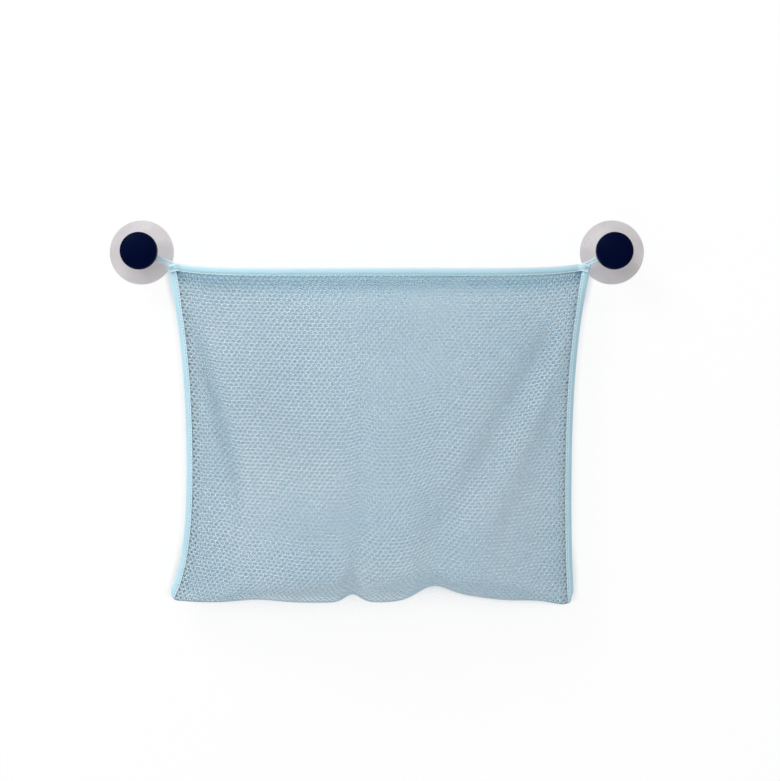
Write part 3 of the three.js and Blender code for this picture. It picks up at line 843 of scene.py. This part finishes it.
def folded_section(half, run):
    """Sections of a tape folded over an edge, one for each station: in from the fold, and through.

    Its face dips at each stitch. Returns the points, and the length round one section from the fold."""
    line = TAPE_WIDTH - SEAM_INSET
    face_x = np.linspace(TAPE_WIDTH - TAPE_LIP_OUTSIDE, TAPE_ROUND, TAPE_FACE_STATIONS)
    puff = TAPE_PUFF * np.sin(math.pi * np.clip((face_x - TAPE_ROUND) / (line - TAPE_ROUND), 0, 1))
    pull = STITCH_DIMPLE * np.exp(-((face_x - line) / STITCH_DIMPLE_WIDTH) ** 2)
    phase = 2 * math.pi * run / STITCH_PITCH
    tight = 1 - STITCH_DIMPLE_CHANGE + STITCH_DIMPLE_CHANGE * np.cos(phase)[:, None]
    press = TAPE_PRESS * ease(face_x, line - TAPE_PRESS_WIDTH, TAPE_WIDTH)
    face_y = half + puff - press - pull * tight
    turn = np.linspace(0, math.pi / 2, TAPE_ROUND_STATIONS)[1:]
    arc_x = TAPE_ROUND * (1 - np.sin(turn))
    arc_y = half * np.cos(turn)
    inside = half - TAPE_THICKNESS
    under_x = [TAPE_ROUND / 2, TAPE_WIDTH - TAPE_LIP_INSIDE, TAPE_WIDTH - TAPE_LIP]
    under_y = [inside, inside - TAPE_PRESS, half - TAPE_PRESS - TAPE_THICKNESS / 2]
    upper_x = np.concatenate([under_x, face_x, arc_x])
    ones = np.ones((len(run), 1))
    upper_y = np.concatenate([ones * under_y, face_y, ones * arc_y], 1)
    x = np.concatenate([upper_x, upper_x[:-1][::-1]])
    y = np.concatenate([upper_y, -upper_y[:, :-1][:, ::-1]], 1)
    points = np.stack([np.broadcast_to(x, y.shape), y], -1)
    around = girth(points[0])
    return points, around - around[len(upper_x) - 1]


def carried(section, at, across, through):
    """Places a section at each station, by the section's two directions there."""
    return at[:, None] + section[..., :1] * across[:, None] + section[..., 1:] * through[:, None]


def side_binding(side, tape):
    v = np.linspace(0, 1, SIDE_STATIONS)
    at = seam_edge(side, v)
    run = lengths(at)
    section, around = folded_section(SIDE_HALF, run)
    rings = carried(section, at, *seam_frame(side, v))
    rings += seam_rise(side, v[:, None], section[..., 0])
    return ring_piece(f"{SIDE_NAME[side]}_side_tape", rings, run, around, tape, sharp_degrees=60)


def rim_line(front):
    """Fold line of a rim's tape, with its lapped ends, and the tape's two directions there."""
    share = np.linspace(0, 1, RIM_STATIONS)
    outer = -1 if front else 1
    edge = face_on(share, np.full(RIM_STATIONS, NET_INSET / SIDE_LENGTH))
    low = face_on(share, np.full(RIM_STATIONS, NET_STRIP / SIDE_LENGTH))
    for row in (edge, low):
        row[:, 1] = -HANG_DEPTH + outer * panel_swell(front, share, 0.0)
    down = unit(low - edge)
    at = edge - down * NET_INSET
    lap = np.linspace(1, 0, RIM_LAP_STATIONS)[:-1, None] * RIM_LAP
    ends = []
    for side, index in ((LEFT, 0), (RIGHT, -1)):
        outwards = -seam_frame(side, np.zeros(1))[0]
        ends.append((at[index] + outwards * lap, np.tile(down[index], (len(lap), 1))))
    at = np.concatenate([ends[0][0], at, ends[1][0][::-1]])
    down = np.concatenate([ends[0][1], down, ends[1][1][::-1]])
    run = lengths(at)
    lift = 1 - ease(np.minimum(run, run[-1] - run), *RIM_LAP_LIFT)
    raised = SIDE_HALF + RIM_HALF + SEAT_GAP / 2 - LAYER_HALF
    at[:, 1] += outer * raised * lift
    along = unit(np.gradient(at, axis=0))
    through = unit(np.cross(down, along))
    through *= np.sign(through[len(at) // 2, 1]) * outer
    return at, down, through, run


def rim_binding(front, tape):
    name = f"{'front' if front else 'back'}_rim_tape"
    at, down, through, run = rim_line(front)
    section, around = folded_section(RIM_HALF, run)
    rings = carried(section, at, down, through)
    return ring_piece(name, rings, run, around, tape, sharp_degrees=60)


# Stitches

def stitch_shape():
    """One stitch: a thread that rises between two needle holes."""
    body = bmesh.new()
    bmesh.ops.create_uvsphere(body, u_segments=8, v_segments=6, radius=1)
    bmesh.ops.scale(body, vec=(THREAD_RADIUS, THREAD_RADIUS, STITCH_LENGTH / 2), verts=body.verts)
    return plain_object("stitch", body)


def stitch_tree():
    """Sets stitches end to end along guide lines."""
    tree, (guide, stitch, pitch, thread) = new_tree("stitch_row", {
        "Stitch": "Object", "Pitch": "Float", "Thread": "Material"})
    curve = guide.node("GeometryNodeMeshToCurve", {"Mesh": guide})
    even = guide.node("GeometryNodeResampleCurve", {"Curve": curve, "Length": pitch}, mode="LENGTH")
    shape = guide.node("GeometryNodeObjectInfo", {"Object": stitch}).output("Geometry")
    run = guide.node("GeometryNodeInputTangent")
    turn = guide.node("FunctionNodeAlignRotationToVector", {"Vector": run}, axis="Z")
    shortest, longest = STITCH_UNEVEN
    uneven = guide.node("FunctionNodeRandomValue", {
        2: shortest, 3: longest, "Seed": STITCH_SEED}, 1, data_type="FLOAT")
    row = guide.node("GeometryNodeInstanceOnPoints", {
        "Points": even, "Instance": shape, "Rotation": turn, "Scale": uneven})
    close_tree(row, thread)
    return tree


def guide_lines(name, lines):
    """A mesh of plain edges along several rows of points."""
    points = []
    edges = []
    for line in lines:
        first = len(points)
        points.extend(line.tolist())
        edges.extend((i, i + 1) for i in range(first, len(points) - 1))
    return link(name, new_mesh(name, points, edges))


def stitch_row(name, tree, lines, stitch, thread):
    mesh = run_tree(tree, guide_lines(name, lines), {
        "Stitch": stitch, "Pitch": STITCH_PITCH, "Thread": thread}, name)
    return link(name, mesh)


def side_seam_lines(side):
    v = np.linspace(SIDE_SEAM_TOP / SIDE_LENGTH, 1 - SIDE_SEAM_FOOT / SIDE_LENGTH, SIDE_SEAM_STATIONS)
    line = seam_point(side, v, np.full_like(v, TAPE_WIDTH - SEAM_INSET))
    proud = seam_frame(side, v)[1] * (SIDE_HALF - STITCH_DIMPLE / 2)
    return [line - proud, line + proud]


def rim_seam_lines(front):
    at, down, through, _ = rim_line(front)
    middle = slice(RIM_SEAM_TRIM, -RIM_SEAM_TRIM)
    line = at + down * (TAPE_WIDTH - SEAM_INSET)
    proud = through * (RIM_HALF - STITCH_DIMPLE / 2)
    return [(line + proud)[middle], (line - proud)[middle]]


# Hanging loops

def round_angles(count):
    return np.linspace(0, 2 * math.pi, count + 1)[:-1]


def loop_frame(side):
    """Centre of the hook, the loop's pull towards the pouch, the direction across it, and its reach."""
    hook = np.array([side * HOOK_X, -HANG_DEPTH, 0.0])
    half = LOOP_WIDTH + LOOP_SLIT / 2
    top = np.zeros(1)
    inward = seam_frame(side, top)[0][0]
    rough = unit(seam_point(side, top, np.array([TAPE_WIDTH / 2]))[0] - hook)
    slant = math.sqrt(1 - float(rough @ inward) ** 2)
    tail = seam_point(side, top, np.array([NET_INSET + half / slant]))[0]
    pull = unit(tail - hook)
    across = np.array([-pull[2], 0.0, pull[0]])
    return hook, pull, across, float(np.linalg.norm(tail - hook))


def hanging_loop(side, tape):
    """A narrow tape that runs round the hook's neck and tucks both ends into the side binding."""
    hook, pull, across, reach = loop_frame(side)
    radius = NECK_RADIUS + SEAT_GAP + LOOP_WIDTH / 2
    half = (LOOP_SLIT + LOOP_WIDTH) / 2
    meet = reach - LOOP_TAIL
    angle = math.atan2(half, meet) + math.acos(radius / math.hypot(half, meet))
    turn = np.linspace(angle, 2 * math.pi - angle, LOOP_ARC_STATIONS)
    arc = np.stack([radius * np.cos(turn), radius * np.sin(turn)], -1)
    strand = np.linspace(0, 1, LOOP_STRAND_STATIONS)[1:, None]
    tail = np.linspace(0, 1, LOOP_TAIL_STATIONS)[1:, None]
    joint = np.array([meet, -half])
    lower = np.concatenate([
        arc[-1] + (joint - arc[-1]) * strand,
        joint + np.array([reach + LOOP_TUCK - meet, 0]) * tail])
    path = np.concatenate([(lower * (1, -1))[::-1], arc, lower])
    for _ in range(LOOP_SMOOTHING):
        path[1:-1] = (path[:-2] + 2 * path[1:-1] + path[2:]) / 4
    tangent = unit(np.gradient(path, axis=0))
    side_way = np.stack([-tangent[:, 1], tangent[:, 0]], -1)
    corner = round_angles(LOOP_SIDES)
    ring = np.stack([np.cos(corner), np.sin(corner)], -1)
    section = np.sign(ring) * abs(ring) ** LOOP_SQUARE * np.array([LOOP_WIDTH, LOOP_THICKNESS]) / 2
    to_world = np.stack([pull, across])
    rings = carried(section[None], hook + path @ to_world, side_way @ to_world, TO_WALL[None])
    around = girth(section) + TAPE_WIDTH
    return ring_piece(f"{SIDE_NAME[side]}_loop_tape", rings, lengths(path), around, tape, sharp_degrees=50)


def loop_tack(side, thread):
    """A bar tack: thread sewn back and forth over the lapped corner."""
    v = np.array([TACK_DROP / SIDE_LENGTH])
    centre = seam_point(side, v, np.array([TAPE_WIDTH / 2]))[0]
    inward = seam_frame(side, v)[0][0]
    upward = np.array([-inward[2], 0.0, inward[0]]) * np.sign(inward[0])
    leg = np.arange(TACK_LEGS)
    zigzag = np.stack([(leg / (TACK_LEGS - 1) - 0.5) * TACK_LENGTH, (leg % 2 - 0.5) * TACK_HEIGHT], -1)
    fine = np.linspace(0, TACK_LEGS - 1, TACK_LEG_STATIONS * (TACK_LEGS - 1) + 1)
    path = np.stack([np.interp(fine, leg, zigzag[:, k]) for k in range(2)], -1)
    at = centre + path @ np.stack([inward, upward])
    at[:, 1] -= SIDE_HALF + 2 * RIM_HALF + TACK_PROUD
    sideways = unit(np.cross(unit(np.gradient(at, axis=0)), TO_WALL))
    corner = round_angles(TACK_SIDES)
    section = np.stack([np.cos(corner), np.sin(corner)], -1) * TACK_THREAD
    rings = carried(section[None], at, sideways, TO_WALL[None])
    around = girth(section)
    return ring_piece(f"{SIDE_NAME[side]}_bar_tack", rings, lengths(at), around, thread, sharp_degrees=70)


# Suction hooks, turned about an axis that points away from the wall

def curve_to(start, control, end, steps=12):
    """Points of a quadratic curve after its start."""
    t = np.linspace(0, 1, steps + 1)[1:, None]
    start, control, end = map(np.array, (start, control, end))
    return (start * (1 - t) ** 2 + 2 * control * t * (1 - t) + end * t ** 2).tolist()


def turned(name, profile):
    """A closed body turned from radius against distance from the wall, starting and ending on its axis."""
    angle = round_angles(TURNED_SEGMENTS)
    points = [(0, 0, profile[0][1])]
    for radius, distance in profile[1:-1]:
        points.extend((radius * math.cos(a), radius * math.sin(a), distance) for a in angle)
    points.append((0, 0, profile[-1][1]))
    last = len(points) - 1
    base = last - TURNED_SEGMENTS
    faces = []
    for k in range(TURNED_SEGMENTS):
        n = (k + 1) % TURNED_SEGMENTS
        faces.append((0, 1 + n, 1 + k))
        for a in range(1, base, TURNED_SEGMENTS):
            b = a + TURNED_SEGMENTS
            faces.append((a + k, a + n, b + n, b + k))
        faces.append((base + k, base + n, last))
    mesh = new_mesh(name, points, faces=faces)
    face_out(mesh)
    return mesh


def on_hook(name, mesh, side, sharp_degrees, material=None):
    """A piece whose axis is turned away from the wall and set on its hook."""
    mesh.transform(Matrix.Translation((side * HOOK_X, 0, 0)) @ Matrix.Rotation(math.pi / 2, 4, "X"))
    smooth(mesh, sharp_degrees)
    return link(name, mesh, material)


def suction_cup(side, vinyl):
    """A shallow cup with a flat ring on the wall, and a boss with a pocket for the stud's flange."""
    name = f"{SIDE_NAME[side]}_cup"
    seat = CUP_RADIUS - CUP_SEAT_WIDTH
    pocket_back = CUP_HOLLOW + CUP_FLOOR
    pocket_front = pocket_back + FLANGE_THICKNESS + 2 * SEAT_GAP
    bore = NECK_RADIUS + SEAT_GAP
    pocket = FLANGE_RADIUS + SEAT_GAP
    pole = (POLE_SHARE * seat, CUP_HOLLOW)
    lip_back = (CUP_RADIUS - CUP_LIP / 2, 0)
    lip_edge = (CUP_RADIUS, CUP_LIP / 2)
    lip_front = (CUP_RADIUS - CUP_LIP / 2, CUP_LIP)
    slope = ((CUP_RADIUS + BOSS_RADIUS) / 2, CUP_LIP + CUP_HOLLOW / 2)
    boss_side = (BOSS_RADIUS, BOSS_FRONT - BOSS_EDGE)
    profile = [
        (0, CUP_HOLLOW), pole,
        *curve_to(pole, (seat / 2, CUP_HOLLOW), (seat, 0)), lip_back,
        *curve_to(lip_back, (CUP_RADIUS, 0), lip_edge, steps=4),
        *curve_to(lip_edge, (CUP_RADIUS, CUP_LIP), lip_front, steps=4),
        *curve_to(lip_front, slope, (BOSS_RADIUS, CUP_SHOULDER), steps=20), boss_side,
        *curve_to(boss_side, (BOSS_RADIUS, BOSS_FRONT), (BOSS_RADIUS - BOSS_EDGE, BOSS_FRONT), steps=5),
        (bore, BOSS_FRONT), (bore, pocket_front), (pocket, pocket_front), (pocket, pocket_back),
        (0, pocket_back)]
    return on_hook(name, turned(name, profile), side, sharp_degrees=40, material=vinyl)


def hook_stud(side, plastic):
    """A stud whose flange sits in the cup, with a neck for the loop and a barbed pin for the knob."""
    name = f"{SIDE_NAME[side]}_stud"
    flange_back = CUP_HOLLOW + CUP_FLOOR + SEAT_GAP
    flange_front = flange_back + FLANGE_THICKNESS
    neck_front = BOSS_FRONT + NECK_LENGTH
    barb_back = neck_front + PIN_LENGTH
    barb_front = barb_back + BARB_LENGTH
    profile = [
        (0, flange_back), (FLANGE_RADIUS - STUD_EDGE, flange_back),
        (FLANGE_RADIUS, flange_back + STUD_EDGE), (FLANGE_RADIUS, flange_front - STUD_EDGE),
        (FLANGE_RADIUS - STUD_EDGE, flange_front), (NECK_RADIUS, flange_front),
        (NECK_RADIUS, neck_front - STUD_EDGE), (NECK_RADIUS - STUD_EDGE, neck_front),
        (PIN_RADIUS, neck_front), (PIN_RADIUS, barb_back), (BARB_RADIUS, barb_back),
        (BARB_RADIUS, barb_back + BARB_LENGTH / 4),
        (2 * PIN_RADIUS - BARB_RADIUS, barb_front), (0, barb_front)]
    return on_hook(name, turned(name, profile), side, sharp_degrees=40, material=plastic)


def rib_tree():
    """Sets ribs evenly round an axis and joins them to the body that they stiffen."""
    tree, (body, rib, count, radius, height, plastic) = new_tree("knob_ribs", {
        "Rib": "Object", "Count": "Int", "Radius": "Float", "Height": "Float", "Plastic": "Material"})
    ring = body.node("GeometryNodeMeshCircle", {"Vertices": count, "Radius": radius})
    shape = body.node("GeometryNodeObjectInfo", {"Object": rib}).output("Geometry")
    place = body.node("GeometryNodeInputPosition")
    turn = body.node("FunctionNodeAlignRotationToVector", {"Vector": place}, axis="X", pivot_axis="Z")
    ribs = body.node("GeometryNodeInstanceOnPoints", {
        "Points": ring, "Instance": shape, "Rotation": turn})
    lifted = body.node("GeometryNodeSetPosition", {
        "Geometry": body.node("GeometryNodeRealizeInstances", {"Geometry": ribs}),
        "Offset": body.node("ShaderNodeCombineXYZ", {"Z": height})})
    joined = body.node("GeometryNodeMeshBoolean", {"Mesh 2": body}, operation="UNION", solver="EXACT")
    body.tree.links.new(lifted.socket, joined.socket.node.inputs["Mesh 2"])
    close_tree(joined, plastic)
    return tree


def knob_rib(length, height):
    body = bmesh.new()
    bmesh.ops.create_cube(body, size=1)
    bmesh.ops.scale(body, vec=(length, RIB_THICKNESS, height), verts=body.verts)
    return plain_object("rib", body)


def hook_knob(side, tree, plastic):
    """A crowned cap, open at the back, whose ribbed socket snaps over the stud's barb."""
    name = f"{SIDE_NAME[side]}_knob_cap"
    socket_back = BOSS_FRONT + NECK_LENGTH + SEAT_GAP
    barb_back = BOSS_FRONT + NECK_LENGTH + PIN_LENGTH - SEAT_GAP
    barb_front = KNOB_FRONT - KNOB_FACE
    edge = KNOB_FRONT - KNOB_CROWN
    roof = edge - KNOB_WALL
    bore = PIN_RADIUS + SEAT_GAP
    barb = BARB_RADIUS + SEAT_GAP
    inner = KNOB_RADIUS - KNOB_WALL
    pole = (POLE_SHARE * KNOB_RADIUS, KNOB_FRONT)
    shoulder = (KNOB_RADIUS - KNOB_ROUND, edge)
    rim = (KNOB_RADIUS, edge - KNOB_ROUND)
    profile = [
        (0, KNOB_FRONT), pole,
        *curve_to(pole, (KNOB_RADIUS / 2, KNOB_FRONT), shoulder, steps=18),
        *curve_to(shoulder, (KNOB_RADIUS, edge - KNOB_ROUND / 4), rim, steps=10),
        (KNOB_RADIUS, KNOB_BACK + KNOB_EDGE), (KNOB_RADIUS - KNOB_EDGE, KNOB_BACK),
        (inner + KNOB_EDGE, KNOB_BACK), (inner, KNOB_BACK + KNOB_EDGE), (inner, roof),
        (SOCKET_RADIUS, roof), (SOCKET_RADIUS, socket_back + KNOB_EDGE),
        (SOCKET_RADIUS - KNOB_EDGE, socket_back), (bore, socket_back), (bore, barb_back),
        (barb, barb_back), (barb, barb_front), (0, barb_front)]
    cap = link(name, turned(name, profile))

    rib_start = SOCKET_RADIUS - RIB_ROOT
    rib_length = KNOB_RADIUS - KNOB_WALL / 2 - rib_start
    rib_height = roof - KNOB_BACK - RIB_RECESS + KNOB_WALL / 2
    rib = knob_rib(rib_length, rib_height)
    mesh = run_tree(tree, cap, {
        "Rib": rib, "Count": RIB_COUNT, "Radius": rib_start + rib_length / 2,
        "Height": KNOB_BACK + RIB_RECESS + rib_height / 2, "Plastic": plastic}, name)
    bpy.data.objects.remove(rib)
    return on_hook(name, mesh, side, sharp_degrees=35)


# The object's pieces, each on the body that carries it

def keep(piece, body, slot, *nodes):
    """Puts a piece in place of its solids and on its body; the slot is not used."""
    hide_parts(*nodes)
    if body:
        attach(piece, body)
    return piece


def build_hooks():
    vinyl = clear_vinyl()
    stud = stud_plastic()
    ribs = rib_tree()
    for side, name in SIDE_NAME.items():
        keep(suction_cup(side, vinyl), "hooks", "clear_vinyl", f"{name}_suction_cup")
        keep(hook_stud(side, stud), "hooks", "stud_plastic", f"{name}_hook_stud")
        knob = hook_knob(side, ribs, navy_plastic(side))
        keep(knob, f"{name}_knob", "navy_plastic", f"{name}_hook_knob")


def build_pouch():
    yarn = net_yarn()
    tape = binding_tape()
    thread = sewing_thread()
    surface = pouch_surface()
    tree = net_tree()
    rows = stitch_tree()
    stitch = stitch_shape()
    for name, first_row in (("front", 0), ("back", NET_ROWS)):
        net = net_panel(f"{name}_net", tree, first_row, surface, yarn)
        keep(net, "pouch", "net_yarn", "net_pouch")
        front = name == "front"
        keep(rim_binding(front, tape), "pouch", "binding_tape", f"{name}_rim_binding")
        seam = stitch_row(f"{name}_rim_stitches", rows, rim_seam_lines(front), stitch, thread)
        keep(seam, "pouch", "sewing_thread", f"{name}_rim_stitching")
    for side, name in SIDE_NAME.items():
        keep(side_binding(side, tape), "pouch", "binding_tape", f"{name}_side_binding")
        seam = stitch_row(f"{name}_side_stitches", rows, side_seam_lines(side), stitch, thread)
        keep(seam, "pouch", "sewing_thread", f"{name}_side_stitching")
        keep(loop_tack(side, thread), "pouch", "sewing_thread", f"{name}_loop_tack")
        loop = keep(hanging_loop(side, tape), None, "binding_tape", f"{name}_hanging_loop")
        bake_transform(loop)
    bpy.data.objects.remove(stitch)


# Stage: a pale wall seen from the room only, soft light and the camera

def shown_rays(wire):
    """1 for the rays that show the backdrop: seen, mirrored or seen through something clear."""
    path = wire.node("ShaderNodeLightPath")
    return path.output("Is Camera Ray") | path.output("Is Glossy Ray") | path.output("Is Transmission Ray")


def wall_bell(across, middle, width):
    """1 at a place across the wall, fading to 0 on both sides of it."""
    off = (across - middle) / width
    return off.math("EXPONENT", off * off * -1)


def free_wall(place):
    """1 where the wall is free, down to 0 where the pouch hangs close in front of it."""
    across, height = place.output("X"), place.output("Z")
    foot_left = BAG_SHIFT - BAG_WAIST / 2 - FOOT_FLARE[LEFT] + NET_STRIP
    foot_width = BAG_WAIST + FOOT_FLARE[LEFT] + FOOT_FLARE[RIGHT] - 2 * NET_STRIP
    lift = 0
    for fold in FOOT_FOLDS:
        middle = foot_left + fold["at"] * foot_width
        lift = wall_bell(across, middle, fold["width"] * foot_width) * fold["lift"] + lift
    for side, corner in ((LEFT, foot_left), (RIGHT, foot_left + foot_width)):
        lift = wall_bell(across, corner, FOOT_SHIFT_WIDTH * foot_width) * FOOT_SHIFT[side] + lift
    below_foot = lift - height - BAG_DROP - SIDE_LENGTH
    above_rim = height + BAG_DROP
    at_foot = spread(below_foot, *SHADE_FOOT_TOP) - spread(below_foot, *SHADE_FOOT_END)
    at_rim = spread(above_rim, *SHADE_RIM_BAND)
    near = place.node("ShaderNodeAmbientOcclusion", {"Distance": SHADE_REACH}, samples=SHADE_SAMPLES)
    gap = near.output("AO") - at_foot * SHADE_FOOT_GAIN - at_rim * SHADE_RIM_GAIN
    free = spread(gap, SHADE_COVERED, SHADE_OPEN) | spread(above_rim, *SHADE_RIM)
    down = above_rim / -SIDE_LENGTH
    top = down.math("POWER", 1 - down, TOP_FLARE_POWER) * TOP_FLARE
    for side, flare in FOOT_FLARE.items():
        outside = (across - BAG_SHIFT) * side - top - down.math("POWER", down, FOOT_FLARE_POWER) * flare
        free = free | spread(outside - BAG_WAIST / 2, *SHADE_SIDE)
    return free


def wall_paint():
    """White paint with the soft shade of the pouch that hangs close in front of it."""
    material = bpy.data.materials.new("wall_paint")
    material.use_nodes = True
    material.node_tree.nodes.clear()
    wire = Wire(material.node_tree)
    surface = wire.node("ShaderNodeNewGeometry")
    free = free_wall(wire.node("ShaderNodeSeparateXYZ", {"Vector": surface.output("Position")}))
    colour = mix_colour(free, linear(182, 197, 206), WHITE)
    paint = wire.node("ShaderNodeBsdfDiffuse", {"Color": colour})
    glow = wire.node("ShaderNodeEmission", {"Color": colour, "Strength": 1.0})
    bright = WALL_SHADE + free * (WALL_GLOW - WALL_SHADE)
    pale = wire.node("ShaderNodeMixShader", {0: bright, 1: paint, 2: glow})
    clear = wire.node("ShaderNodeBsdfTransparent")
    seen = shown_rays(wire) * (1 - surface.output("Backfacing"))
    mixed = wire.node("ShaderNodeMixShader", {0: seen, 1: clear, 2: pale})
    wire.node("ShaderNodeOutputMaterial", {"Surface": mixed})
    return material


def build_stage():
    w, y = WALL_HALF, WALL_SETBACK
    mesh = new_mesh("wall", [(-w, y, -w), (w, y, -w), (w, y, w), (-w, y, w)], faces=[range(4)])
    link("wall", mesh, wall_paint())


def build_light():
    for name, (place, size, power) in LAMPS.items():
        lamp = bpy.data.lights.new(name, "AREA")
        lamp.shape = "DISK"
        lamp.size = size
        lamp.energy = power
        light = link(name, lamp)
        light.location = place
        aim = Vector((0, 0, CAMERA_Z)) - light.location
        light.rotation_euler = aim.to_track_quat("-Z", "Y").to_euler()
    world = bpy.data.worlds.new("studio")
    bpy.context.scene.world = world
    world.use_nodes = True
    world.node_tree.nodes.clear()
    wire = Wire(world.node_tree)
    white = wire.node("ShaderNodeBackground", {"Color": WHITE, "Strength": 1.0})
    soft = wire.node("ShaderNodeBackground", {"Color": SOFT_LIGHT, "Strength": SOFT_STRENGTH})
    mixed = wire.node("ShaderNodeMixShader", {0: shown_rays(wire), 1: soft, 2: white})
    wire.node("ShaderNodeOutputWorld", {"Surface": mixed})


def build_camera():
    lens = bpy.data.cameras.new("camera")
    lens.sensor_width = SENSOR / MM
    lens.lens = lens.sensor_width * CAMERA_DISTANCE / (max(IMAGE_WIDTH, IMAGE_HEIGHT) * PIXEL_AT_WALL)
    camera = link("camera", lens)
    camera.location = (CAMERA_X, -CAMERA_DISTANCE, CAMERA_Z)
    camera.rotation_euler = (math.pi / 2, 0, 0)
    bpy.context.scene.camera = camera


bpy.context.scene.view_settings.view_transform = "Standard"
build_camera()
build_hooks()
build_pouch()
build_stage()
build_light()
